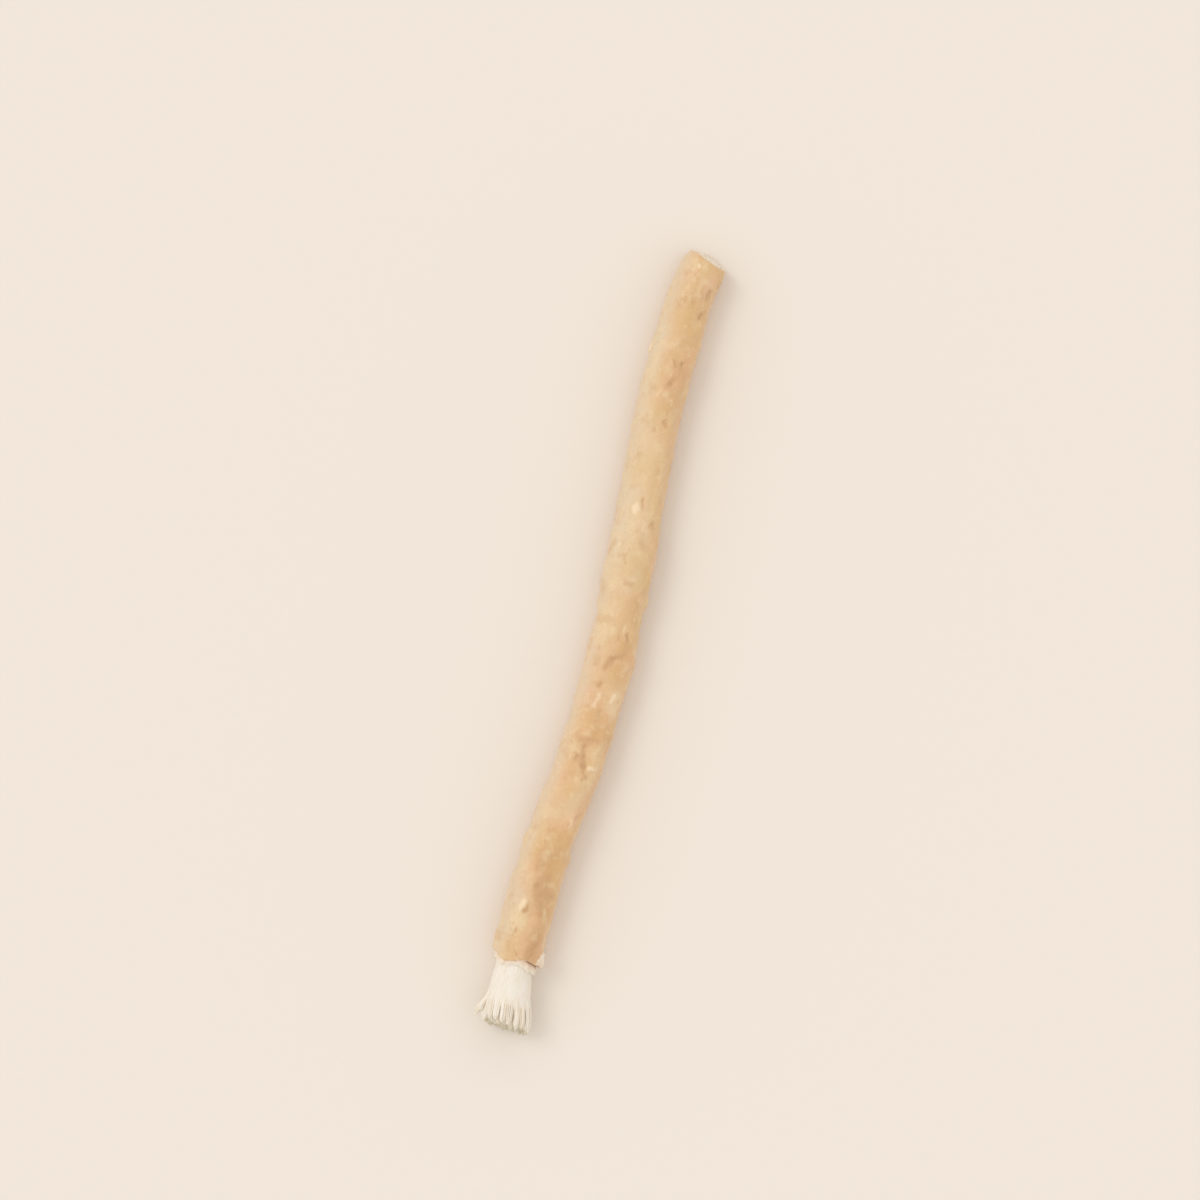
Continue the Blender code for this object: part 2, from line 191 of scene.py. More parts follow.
# Marks that are raised and pale, or below 0 sunken and dark, as strokes on the bark: station and angle
# of both ends, half-width in mm, and strength. The pale is partly painted highlight and the dark partly
# painted shade
MARKS = [(14.9, -26, 18.4, -45, 0.45, -0.6), (15.6, -20, 17.0, -35, 0.9, -0.3),
         (22.7, 9, 24.4, 1, 0.35, -0.9), (18.2, 26, 19.3, 14, 0.3, -0.5), (24.4, -29, 28.3, 2, 0.6, -0.6),
         (28.3, -6, 30.0, -8, 0.6, -0.5), (27.2, -23, 26.8, -58, 0.55, -0.5),
         (31.6, 4, 32.2, -3, 0.35, -0.5), (50.0, -24, 51.8, -13, 0.45, -0.55),
         (52.0, -10, 53.2, -6, 0.5, -0.75), (54.0, -4, 55.2, 0, 0.45, -0.85),
         (56.6, 8, 57.0, -29, 0.5, -0.55), (53.2, 14, 53.6, 12, 0.45, -0.8),
         (42.0, -41, 42.8, -55, 0.4, -0.5), (57.5, -64, 57.9, -70, 0.6, -0.5),
         (67.0, 9, 67.3, 7, 0.5, -0.75), (70.6, 6, 72.4, -4, 0.5, -0.75), (72.6, -13, 73.5, -33, 0.5, -0.6),
         (76.5, -33, 77.5, -33, 0.4, -0.9), (61.5, -11, 62.9, -13, 0.4, -0.4),
         (86.6, -4, 86.7, -18, 0.4, -0.45), (101.0, -3, 102.5, -5, 0.4, -0.6),
         (90.5, 15, 93.0, 6, 0.4, -0.4), (91.3, 29, 91.7, 23, 0.4, -0.35),
         (98.0, -44, 99.0, -41, 0.5, -0.4), (108.0, -33, 108.9, -30, 0.4, -0.3),
         (117.2, -25, 117.8, -24, 0.5, -0.6), (123.9, -4, 124.4, -18, 0.4, -0.35),
         (124.5, -15, 127.2, -29, 0.4, -0.5), (127.8, -13, 128.6, -10, 0.35, -0.6),
         (128.4, -30, 128.8, -31, 0.45, -1.0), (137.8, -41, 138.9, -48, 0.5, -0.4),
         (141.7, -46, 143.6, -50, 0.55, -0.65), (115.4, 4, 115.8, 2, 0.4, -0.4),
         (140.6, 14, 141.0, 12, 0.4, -0.4), (22.9, 18, 24.7, 15, 0.5, 1.0),
         (14.6, -11, 15.4, -16, 0.5, 0.6), (18.2, 35, 18.9, 25, 0.3, 0.5), (34.8, 47, 38.3, 43, 0.5, 0.4),
         (40.3, -30, 41.7, -36, 0.45, 0.7), (51.6, -25, 51.8, -38, 0.4, 0.95),
         (52.5, 20, 53.6, 28, 0.35, 0.6), (63.2, 10, 65.8, 4, 0.5, 0.7), (62.7, 33, 65.0, 29, 0.45, 0.5),
         (64.7, -29, 65.9, -34, 0.5, 0.9), (78.3, 10, 79.4, 13, 0.4, 0.5), (76.7, 20, 77.1, 21, 0.35, 0.45),
         (87.3, -5, 87.6, -20, 0.35, 0.7), (100.4, 11, 101.1, 11, 0.6, 1.2),
         (97.4, 10, 98.0, 21, 0.35, 0.5), (96.0, -10, 98.2, -18, 0.45, 0.5),
         (105.2, -47, 105.6, -49, 0.4, 0.5), (114.9, -9, 115.4, -10, 0.4, 0.5),
         (117.8, 34, 118.3, 36, 0.5, 0.5), (122.3, 12, 123.0, 4, 0.45, 0.55),
         (126.2, -10, 126.8, -11, 0.35, 0.55), (148.0, 9, 148.6, 5, 0.35, 0.8),
         (42.8, 38, 45.0, 35, 0.4, 0.4), (85.3, 28, 86.3, 30, 0.5, 0.4), (91.6, 42, 93.5, 31, 0.4, 0.4)]

# Soft clouds, pale above 0 and brown below, in the same form
CLOUDS = [(15.5, -30, 19.0, -35, 1.6, -0.9), (23.5, -32, 29.0, -20, 1.5, -0.9),
          (32.5, -25, 35.0, -30, 1.4, -0.4), (56.0, -15, 60.5, -15, 2.0, -0.35),
          (72.0, -15, 75.5, -30, 1.6, -0.4), (119.0, -35, 128.0, -35, 2.0, -0.35),
          (133.5, -20, 136.0, -30, 2.0, -0.15), (82.0, 22, 122.0, 28, 2.4, 0.35),
          (20.5, 18, 22.5, 22, 1.5, 0.9), (50.0, -45, 56.0, -40, 1.3, 0.6),
          (42.0, -30, 49.0, -25, 1.6, 0.4), (94.0, -30, 112.0, -25, 2.2, 0.3),
          (62.0, 0, 66.0, -30, 1.6, 0.35), (144.0, -10, 148.0, -20, 1.5, 0.1),
          (32.0, 5, 34.5, -2, 1.2, -0.6), (77.0, 30, 79.5, 35, 1.6, 0.8), (96.0, -15, 97.0, -12, 1.2, 0.5),
          (62.5, -45, 65.0, -45, 1.2, 0.8), (62.0, 12, 64.5, 12, 1.0, -0.5),
          (125.0, 42, 128.0, 40, 1.3, 0.6), (140.6, -12, 143.0, -14, 1.2, -0.7),
          (20.8, 6, 22.2, -2, 0.9, 0.5), (136.5, -25, 139.5, -35, 1.0, 0.35)]

# Golden patches, or below 0 pale ones, and how golden the bark is round the stick
HUES = [(20.0, 30, 25.5, 25, 1.3, -0.7), (22.5, -45, 27.0, -50, 1.2, 0.7), (32.0, 0, 38.0, -8, 1.5, 0.8),
        (31.0, -30, 38.0, -35, 1.5, 0.8), (43.0, -18, 46.5, -28, 1.2, -0.7), (47.5, 14, 52.0, 12, 1.2, 0.6),
        (56.0, 8, 61.0, 4, 2.2, 0.85), (58.0, -35, 61.0, -35, 1.5, 0.6), (62.0, -42, 65.5, -45, 1.2, -1.0),
        (71.0, -25, 76.0, -30, 1.4, 0.7), (81.0, -12, 84.5, -20, 1.6, 0.4),
        (86.0, -15, 88.5, -30, 1.5, -0.8), (92.0, 10, 103.0, 10, 2.4, -0.5),
        (96.0, 35, 103.0, 35, 1.5, -0.5), (110.5, 22, 118.0, 25, 1.5, -0.5),
        (122.0, 38, 134.0, 38, 1.3, -0.6), (121.0, -10, 137.0, -15, 2.0, 0.3),
        (142.5, -35, 147.0, -35, 1.5, -0.5)]
# Round the stick this is painted light: the lit side (+Y) is painted paler and the shaded side more golden
PAINTED_LIGHT_ROUND = [(-180, 0.1), (-90, 0.35), (-40, 0.4), (-10, 0.2), (8, 0.0), (20, -0.15), (33, -0.45),
             (50, -0.9), (90, -0.9), (140, -0.2)]

# Rosy patches, and how rosy the bark is along the stick
BLUSHES = [(14.9, -9, 15.2, -9, 0.6, 0.9), (15.5, -33, 18.5, -40, 1.0, 0.8),
           (23.6, -25, 26.5, -48, 1.0, 0.9), (32.0, 2, 34.5, -5, 1.0, 0.6),
           (39.5, -20, 42.5, -35, 1.2, 0.7), (63.0, 45, 66.0, 35, 1.0, 0.6),
           (62.5, -28, 64.5, -40, 1.0, 0.6), (71.0, -45, 73.5, -50, 1.0, 0.5),
           (94.5, -50, 95.7, -50, 0.8, 0.7), (121.0, 15, 122.5, 0, 0.8, 0.4),
           (124.5, -8, 128.0, -18, 0.8, 0.5), (126.5, -40, 131.5, -50, 1.2, 0.7),
           (145.0, 30, 147.0, 20, 0.9, 0.6), (144.0, -40, 146.5, -45, 0.9, 0.5)]
BLUSH_ALONG = [(14, 0.32), (60, 0.32), (76, 0.22), (84, 0.0), (114, 0.0), (122, 0.24), (140, 0.26),
               (150, 0.2)]

SCAR_FALL = 2.2
SCAR_REACH = 2
WAVE_SIZE = 8.5 * MM
WAVE_HEIGHT = 0.3 * MM
WAVES_AROUND = 1.25
WRINKLE_SIZE = 3.8 * MM
WRINKLE_HEIGHT = 0.2 * MM
WRINKLES_AROUND = 2.75


def through(points, at):
    """Value at a place of a smooth curve through given points, in the points' own units."""
    places = [p[0] for p in points]
    at = min(max(at, places[0]), places[-1])
    i = min(max(bisect.bisect_right(places, at) - 1, 0), len(points) - 2)

    def slope(k):
        low, high = max(k - 1, 0), min(k + 1, len(points) - 1)
        return (points[high][1] - points[low][1]) / (points[high][0] - points[low][0])

    (x0, y0), (x1, y1) = points[i], points[i + 1]
    span = x1 - x0
    t = (at - x0) / span
    return ((1 + 2 * t) * (1 - t) ** 2 * y0 + t * (1 - t) ** 2 * span * slope(i)
            + t * t * (3 - 2 * t) * y1 + t * t * (t - 1) * span * slope(i + 1))


def along(points, station):
    """The same curve for a list in mm, read at a station in metres from the brush's tips."""
    return through(points, station / MM) * MM


def smooth(t):
    """Ease from 0 to 1."""
    t = min(max(t, 0.0), 1.0)
    return t * t * (3 - 2 * t)


def steps(start, end, pitch):
    """Even stations from start to end, both included."""
    count = max(1, round(abs(end - start) / pitch))
    return [start + (end - start) * k / count for k in range(count + 1)]


def middle(station):
    """Middle line of the stick: its place in Y and Z."""
    return along(BOW, station), along(GIRTH, station) + along(LIFT, station)


def round_stick(points, angle):
    """Value of a smooth curve through (degrees, value) points that closes round the stick."""
    first, last = points[0], points[-1]
    ring = [(last[0] - 360, last[1])] + points + [(first[0] + 360, first[1])]
    return through(ring, math.degrees(angle))


def outwards(angle):
    """Direction out of the stick at an angle from +Z towards +Y."""
    return Vector((0, math.sin(angle), math.cos(angle)))


def relief(station, angle):
    """Height of the bark's surface over its girth: waves, wrinkles, knobs and pits."""
    out = outwards(angle)
    height = WAVE_HEIGHT * noise.noise(out * WAVES_AROUND + Vector((station / WAVE_SIZE, 0, 0)))
    height += WRINKLE_HEIGHT * noise.noise(out * WRINKLES_AROUND + Vector((station / WRINKLE_SIZE, 7, 0)))
    for place, at, size, scar in SCARS:
        far_round = (math.degrees(angle) - at + 180) % 360 - 180
        far = math.hypot(station - place * MM, math.radians(far_round) * MEAN_GIRTH) / (size * MM)
        if far < SCAR_REACH:
            height += scar * MM * math.exp(-SCAR_FALL * far * far)
    return height


def beside_split(station, angle):
    """How far an angle is past the split towards the loose lobe, in degrees."""
    return through(SPLIT, station / MM) - math.degrees(angle)


def lobe_lift(station, angle):
    """How far the loose lobe beside the split stands off."""
    lift = LOBE_HEIGHT * smooth(beside_split(station, angle) / LOBE_SOFTNESS + 0.5)
    lift *= smooth((math.degrees(angle) - LOBE_FAR_SIDE) / LOBE_FADE)
    return lift * smooth((PLAIN_EDGE + LOBE_REACH - station) / LOBE_REACH)


def cut_shift(station, y, z):
    """How far the facets of the cut move a point near the end along the stick."""
    end = min(at * MM + across * y + down * z for at, across, down in CUT_FACETS)
    return (end - STICK_LENGTH) * smooth((station - STICK_LENGTH + CUT_REACH) / CUT_REACH)


def point(station, radius, angle):
    """Point at a radius and an angle round the middle line, never below the surface."""
    y, z = radius * math.sin(angle), radius * math.cos(angle)
    middle_y, middle_z = middle(station)
    station += cut_shift(station, y, z)
    return Vector((station - STICK_LENGTH / 2, middle_y + y, max(middle_z + z, 0.0)))


def turned(profile, sides):
    """Closed solid turned round X from (station, radius) pairs: a loop, or a chain with its ends on X."""
    bm = bmesh.new()
    chain = [bm.verts.new((station, 0, radius)) for station, radius in profile]
    edges = [bm.edges.new(pair) for pair in zip(chain, chain[1:])]
    if profile[0][1] > 0:
        edges.append(bm.edges.new((chain[-1], chain[0])))
    bmesh.ops.spin(bm, geom=chain + edges, cent=(0, 0, 0), axis=(1, 0, 0), angle=2 * math.pi,
                   steps=sides, use_merge=True)
    bmesh.ops.remove_doubles(bm, verts=bm.verts, dist=TINY)
    bmesh.ops.recalc_face_normals(bm, faces=bm.faces)
    return bm


def polar(vert):
    """Station, radius and angle of a turned vertex."""
    return vert.co.x, math.hypot(vert.co.y, vert.co.z), math.atan2(vert.co.y, vert.co.z)


BARK_SIDES = 190
BARK_PITCH = 0.38 * MM
EDGE_PITCH = 0.16 * MM
EDGE_ZONE = 18.5 * MM
EDGE_STEP_LENGTH = 0.9 * MM
CUT_RIM_LENGTH = 0.8 * MM
BORE_PITCH = 12 * MM
BORE_INSET = 0.1 * MM

# How the bark turns in at its cut end: distance back from the cut, and depth, in mm
CUT_RIM = [(0.5, 0), (0.24, 0.0), (0.08, 0.04), (0.0, 0.14), (0.0, 0.3), (0.0, 0.5), (0.0, 0.72),
           (0.02, 0.9)]

TORN_COARSE = 0.28 * MM
TORN_FINE = 0.13 * MM
TORN_AROUND = 3.4
TORN_FINE_AROUND = 11
WANDER_SIZE = 2.6 * MM
WANDER = 0.35
BUMP_SIZE = 2.3 * MM
BUMP_HEIGHT = 0.18 * MM
CREVICE_WIDTH = 0.9 * MM
CREVICE_LENGTH = 1.7 * MM
CREVICE_DEPTH = 0.06 * MM
CREVICE_EDGE = 0.2
CREVICE_TONE = 0.25
CRACKED_SIZE = 7 * MM
CRACKED_SHARE = 0.4
CRACKED_VARIES = 1.6
PLATE_WIDTH = 1.3 * MM
PLATE_LENGTH = 1.5 * MM
PLATE_STEP = 0.05 * MM
PLATE_SEAM = 0.3
PLATE_SHUFFLE = 5.3
CREASE_SIZE = 0.7 * MM
CREASE_AROUND = 3
CREASE_WANDER = 3
CREASE_HEIGHT = 0.06 * MM
GRAIN_SIZE = 0.4 * MM
GRAIN_HEIGHT = 0.03 * MM
MARK_HEIGHT = 0.16 * MM
MARK_FALL = 1.6
MARK_SPREAD = 1.55
MARK_REACH = 2.2
RAGGED_SIZE = 1.3 * MM
RAGGED = 0.55
RAGGED_FINE_SIZE = 0.5 * MM
RAGGED_FINE = 0.3
NOISE_SEED = 12
MARK_SEED = 5
HIDDEN_MARKS = 70
HIDDEN_STATIONS = (18, 148)
HIDDEN_ANGLES = (75, 285)
HIDDEN_ALONG = 1.5
HIDDEN_AROUND = 18
HIDDEN_WIDTHS = (0.35, 0.6)
HIDDEN_STRENGTHS = (-0.9, -0.6, -0.5, 0.5, 0.8)
WART_COUNT = 110
WART_STATIONS = (16, 149)
WART_ALONG = 0.4
WART_AROUND = 6
WART_SIZE = 0.45
WART_VARIES = (0.6, 1.1)
WART_STRENGTHS = (-0.4, 0.3, 0.45)
CHIP_STATION = 14.6
CHIP_ANGLE = -72
CHIP_LENGTH = 2.1
CHIP_WIDTH = 22
CHIP_LIFT = 0.3 * MM
CHIP_DEPTH = 0.4
CHIP_RAGGED = 0.35
CHIP_RAGGED_LENGTH = 0.5 * MM
CHIP_RAGGED_WIDTH = 8
CHIP_EDGE = 0.3
CHIP_TAPER = (1.15, 0.5)
GROOVE_DEPTH = 0.2
GROOVE_WIDTH = 0.19
GROOVE_START = -22
GROOVE_END = -88
GROOVE_FADE = 12
GROOVE_ELSEWHERE = 0.3
GROOVE_TOP = 0.25
GROOVE_BLEND = 0.15
RIM_BLEND = 0.03
RIM_RAGGED = 2
SPLIT_WIDTH = 0.3 * MM
FINE_DEPTH = 0.4
FINE_LOST = 0.6


def stroke(first_station, first_angle, last_station, last_angle, width, strength):
    """A mark as its two ends on the unrolled bark, half-width and strength, and its reach in station."""
    girth = MEAN_GIRTH / MM
    width *= MARK_SPREAD
    first = Vector((first_station, math.radians(first_angle) * girth))
    last = Vector((last_station, math.radians(last_angle) * girth))
    reach = MARK_REACH * width
    return first, last, width, strength, min(first.x, last.x) - reach, max(first.x, last.x) + reach


noise.seed_set(NOISE_SEED)
draw = random.Random(MARK_SEED)
marks = [stroke(*mark) for mark in MARKS]
for _ in range(HIDDEN_MARKS):
    station, angle = draw.uniform(*HIDDEN_STATIONS), draw.uniform(*HIDDEN_ANGLES)
    far_station = station + draw.uniform(-HIDDEN_ALONG, HIDDEN_ALONG)
    far_angle = angle + draw.uniform(-HIDDEN_AROUND, HIDDEN_AROUND)
    marks.append(stroke(station, angle, far_station, far_angle,
                        draw.uniform(*HIDDEN_WIDTHS), draw.choice(HIDDEN_STRENGTHS)))
for _ in range(WART_COUNT):
    station, angle = draw.uniform(*WART_STATIONS), draw.uniform(-180, 180)
    far_station = station + draw.uniform(-WART_ALONG, WART_ALONG)
    far_angle = angle + draw.uniform(-WART_AROUND, WART_AROUND)
    marks.append(stroke(station, angle, far_station, far_angle,
                        WART_SIZE * draw.uniform(*WART_VARIES), draw.choice(WART_STRENGTHS)))
clouds = [stroke(*cloud) for cloud in CLOUDS]
hues = [stroke(*hue) for hue in HUES]
blushes = [stroke(*blush) for blush in BLUSHES]


def marked(strokes, place):
    """Sum of the strokes' strengths at a place, in mm, on the unrolled bark."""
    around = 2 * math.pi * MEAN_GIRTH / MM
    total = 0.0
    for first, last, width, strength, low, high in strokes:
        if low < place.x < high:
            here = place - first
            here.y = (here.y + around / 2) % around - around / 2
            line = last - first
            share = min(max(here.dot(line) / line.length_squared, 0.0), 1.0)
            far = (here - line * share).length / width
            if far < MARK_REACH:
                total += strength * math.exp(-MARK_FALL * far * far)
    return total


def skin(station, angle):
    """The bark at a place: its fine height, mark, cloud, hue and blush, the last four without a unit."""
    at = outwards(angle) * MEAN_GIRTH + Vector((station, 0, 0))
    wander = noise.noise_vector(at / WANDER_SIZE) * WANDER
    drawn_out = Vector((at.x / CREVICE_LENGTH, at.y / CREVICE_WIDTH, at.z / CREVICE_WIDTH)) + wander
    open_here = smooth(CRACKED_SHARE + CRACKED_VARIES * noise.noise(at / CRACKED_SIZE + Vector((3, 1, 4))))
    crevice = max(0.0, 1 - abs(noise.noise(drawn_out)) / CREVICE_EDGE) ** 1.5 * open_here
    plated = Vector((at.x / PLATE_LENGTH, at.y / PLATE_WIDTH, at.z / PLATE_WIDTH)) + wander
    (near, second, _, _), (centre, _, _, _) = noise.voronoi(plated)
    seam = max(0.0, 1 - (second - near) / PLATE_SEAM)
    height = PLATE_STEP * noise.cell(centre * PLATE_SHUFFLE + Vector((11, 5, 2))) * (1 - seam)
    height -= CREVICE_DEPTH * crevice
    round_crease = CREASE_AROUND * CREASE_SIZE
    creased = Vector((at.x / CREASE_SIZE, at.y / round_crease, at.z / round_crease))
    creased += wander * CREASE_WANDER
    height += CREASE_HEIGHT * noise.noise(creased) + GRAIN_HEIGHT * noise.noise(at / GRAIN_SIZE + wander)
    height += BUMP_HEIGHT * noise.noise(at / BUMP_SIZE + Vector((8, 2, 6)))
    ragged = noise.noise_vector(at / RAGGED_SIZE) * RAGGED
    ragged += noise.noise_vector(at / RAGGED_FINE_SIZE) * RAGGED_FINE
    place = Vector((station / MM + ragged.x, angle * MEAN_GIRTH / MM + ragged.y))
    mark = marked(marks, place)
    # The golden value round the stick is painted light: paler on the lit side, more golden on the shaded
    # side
    golden = round_stick(PAINTED_LIGHT_ROUND, angle) + marked(hues, place)
    rosy = through(BLUSH_ALONG, place.x) + marked(blushes, place)
    # The tone is darker in crevices and sunken marks, partly the bark's own brown and partly painted shade,
    # and paler on raised marks: painted highlight
    return height + MARK_HEIGHT * mark, mark - CREVICE_TONE * crevice, marked(clouds, place), golden, rosy


def torn(angle, seed):
    """Ragged wander of a torn edge round the stick."""
    out = outwards(angle)
    ragged = noise.noise(out * TORN_AROUND + Vector((seed, 0, 0))) * TORN_COARSE
    return ragged + noise.noise(out * TORN_FINE_AROUND + Vector((seed, 3, 0))) * TORN_FINE


def chipped(station, angle):
    """Share of the outer skin that is torn off, in a sliver at the loose lobe's far corner."""
    along_chip = (station / MM - CHIP_STATION) / CHIP_LENGTH
    width = CHIP_WIDTH * (CHIP_TAPER[0] - CHIP_TAPER[1] * along_chip)
    round_chip = (math.degrees(angle) - CHIP_ANGLE) / width
    torn_at = Vector((station / CHIP_RAGGED_LENGTH, math.degrees(angle) / CHIP_RAGGED_WIDTH, 2))
    ragged = CHIP_RAGGED * noise.noise(torn_at)
    return smooth((1 - math.hypot(along_chip, round_chip) + ragged) / CHIP_EDGE)


bark_profile = [(STICK_LENGTH - back * MM, MEAN_GIRTH - depth * MM) for back, depth in reversed(CUT_RIM)]
bark_profile += [(station, MEAN_GIRTH) for station in
                 steps(STICK_LENGTH - CUT_RIM_LENGTH, EDGE_ZONE, BARK_PITCH)]
bark_profile += [(station, MEAN_GIRTH) for station in
                 steps(EDGE_ZONE - EDGE_PITCH, PLAIN_EDGE + EDGE_STEP_LENGTH, EDGE_PITCH)]
bark_profile += [(PLAIN_EDGE + back * MM, MEAN_GIRTH - depth * MM) for back, depth in EDGE_STEP]
bark_profile += [(station, BORE_RADIUS) for station in
                 steps(PLAIN_EDGE, STICK_LENGTH - BORE_INSET, BORE_PITCH)]
bark_bm = turned(bark_profile, BARK_SIDES)
under = bark_bm.verts.layers.float.new("under")
gap = bark_bm.verts.layers.float.new("gap")
tone = bark_bm.verts.layers.float.new("tone")
cloud = bark_bm.verts.layers.float.new("cloud")
hue = bark_bm.verts.layers.float.new("hue")
blush = bark_bm.verts.layers.float.new("blush")
for vert in bark_bm.verts:
    station, radius, angle = polar(vert)
    depth = (MEAN_GIRTH - radius) / MM
    near_edge = smooth((PLAIN_EDGE + EDGE_REACH - station) / EDGE_REACH)
    in_rim = smooth((depth - RIM_DEPTH + RIM_BLEND) / (2 * RIM_BLEND))
    vert[under] = depth
    if station < PLAIN_EDGE + MM and depth > GROOVE_TOP:
        beside_lobe = smooth((GROOVE_START - math.degrees(angle)) / GROOVE_FADE)
        beside_lobe *= smooth((math.degrees(angle) - GROOVE_END) / GROOVE_FADE)
        groove = math.exp(-((station - PLAIN_EDGE) / MM / GROOVE_WIDTH) ** 2)
        groove *= GROOVE_ELSEWHERE + (1 - GROOVE_ELSEWHERE) * beside_lobe
        depth += GROOVE_DEPTH * groove * smooth((depth - GROOVE_TOP) / GROOVE_BLEND)
        # The groove's share is kept to paint shade into it
        vert[gap] = groove
    ragged = (1 - in_rim) * torn(angle, 1)
    if station < PLAIN_EDGE:
        station += (station - PLAIN_EDGE) * (round_stick(RIM_REACH, angle) - 1) * in_rim
        ragged += RIM_RAGGED * torn(angle, 9) * smooth((PLAIN_EDGE - station) / MM) * in_rim
    station += (round_stick(PEELED_EDGE, angle) * MM - PLAIN_EDGE + ragged) * near_edge
    if radius > BORE_RADIUS + TINY:
        fine, vert[tone], vert[cloud], vert[hue], vert[blush] = skin(station, angle)
        loose = lobe_lift(station, angle) * (1 - in_rim)
        chip = chipped(station, angle) * (1 - in_rim)
        if loose:
            # The split beside the loose lobe is darkened in tone: painted shade in the gap under the lobe
            crack = math.exp(-(beside_split(station, angle) / LOBE_SOFTNESS) ** 2)
            vert[tone] -= crack * loose / SPLIT_WIDTH
        vert[under] = max(vert[under], CHIP_DEPTH * chip)
        surface = along(GIRTH, station) + relief(station, angle) + loose + CHIP_LIFT * chip
        fine *= 1 - FINE_LOST * smooth(depth / FINE_DEPTH)
        radius = max(surface - depth * MM + fine, BORE_RADIUS)
    vert.co = point(station, radius, angle)
bark_mesh = bpy.data.meshes.new("root_bark")
bark_bm.to_mesh(bark_mesh)
bark_bm.free()
bark_mesh.shade_smooth()
root_bark = bpy.data.objects.new("root_bark", bark_mesh)
bpy.context.collection.objects.link(root_bark)
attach(root_bark, "root")
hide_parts("bark")


class Field:
    """A value that varies over a surface: a shader socket that takes part in Python expressions."""

    def __init__(self, tree, socket=None):
        self.tree = tree
        self.socket = socket

    def node(self, kind, settings=None, sockets=None, output=0):
        """Any node: its settings are set first, then its sockets are given values or links."""
        made = self.tree.nodes.new("ShaderNode" + kind)
        for name, value in (settings or {}).items():
            setattr(made, name, value)
        for name, value in (sockets or {}).items():
            if isinstance(value, Field):
                self.tree.links.new(value.socket, made.inputs[name])
            else:
                made.inputs[name].default_value = value
        return Field(self.tree, made.outputs[output])

    def maths(self, operation, first, second):
        """One step of arithmetic on two values."""
        return self.node("Math", {"operation": operation}, {0: first, 1: second})

    def __rsub__(self, other):
        return self.maths("SUBTRACT", other, self)

    def __mul__(self, other):
        return self.maths("MULTIPLY", self, other)

    def __rmul__(self, other):
        return self.maths("MULTIPLY", other, self)

    def between(self, low, high):
        """0 below low, 1 above high, eased between them."""
        ease = {"interpolation_type": "SMOOTHSTEP"}
        return self.node("MapRange", ease, {"Value": self, "From Min": low, "From Max": high})


def speckle(space, size, detail=3.0, roughness=0.5, stretch=1.0, seed=0.0):
    """Cloudy pattern, about 0 to 1, with spots of a size in metres, drawn out along the stick."""
    shift = {"Scale": (1 / (size * stretch), 1 / size, 1 / size), "Location": (seed, seed * 0.7, seed * 0.3)}
    moved = space.node("Mapping", {}, {"Vector": space, **shift})
    return space.node("TexNoise", {}, {"Vector": moved, "Scale": 1.0, "Detail": detail,
                                       "Roughness": roughness})


def blend(first, second, share):
    """Two colours mixed by a share of the second."""
    field = next(value for value in (first, second, share) if isinstance(value, Field))
    return field.node("Mix", {"data_type": "RGBA", "clamp_factor": True},
                      {0: share, 6: first, 7: second}, output=2)


# The bark's finish: dry and mealy, tan with ochre and peach clouds, brown in its creases and pits and
# paler on its knobs. The brown is partly its own colour and partly painted shade, and the paler knobs carry
# a painted highlight. Where it is torn or cut, the inner bark under the skin is pale peach.
BARK_TAN = tint(226, 190, 144)
BARK_OCHRE = tint(222, 186, 130)
BARK_PEACH = tint(230, 188, 148)
BARK_CREAM = tint(236, 207, 163)
# The brown and pit colours also serve as painted shade, and the fleck colour as painted highlight
BARK_BROWN_AND_SHADE = tint(211, 168, 121)
BARK_PIT_AND_SHADE = tint(199, 154, 109)
BARK_FLECK_AND_HIGHLIGHT = tint(250, 224, 188)
BARK_ROSE = tint(230, 183, 142)
BARK_GOLD_AND_SHADED_SIDE = tint(218, 172, 112)
# The gold also serves as painted shade on the shaded side, and the pale one as painted light on the lit side
BARK_PALE_AND_LIT_SIDE = tint(226, 206, 176)
CLOUD_BROWN = tint(204, 158, 110)
INNER_BARK = tint(243, 224, 202)
INNER_BARK_DEEP = tint(237, 212, 186)
INNER_BARK_FRONT = tint(241, 232, 210)
GAP_PAINTED_SHADE = tint(190, 152, 115)
MEAL_SIZE = 0.28 * MM
MEAL_STRENGTH = 0.5
MEAL_DEPTH = 0.07 * MM
BARK_ROUGHNESS = 0.78
BARK_SMOOTHER = 0.25
BARK_SHINE = 0.45
BARK_SHEEN = 0.28
BARK_SHEEN_ROUGHNESS = 0.5

bark_material, bark_shader = plain_material("dry_root_bark")
bark_tree = bark_material.node_tree
space = Field(bark_tree).node("TexCoord", output=3)
tone_here = space.node("Attribute", {"attribute_name": "tone"}, output=2)
cloud_here = space.node("Attribute", {"attribute_name": "cloud"}, output=2)
hue_here = space.node("Attribute", {"attribute_name": "hue"}, output=2)
blush_here = space.node("Attribute", {"attribute_name": "blush"}, output=2)
under_here = space.node("Attribute", {"attribute_name": "under"}, output=2)
gap_here = space.node("Attribute", {"attribute_name": "gap"}, output=2)

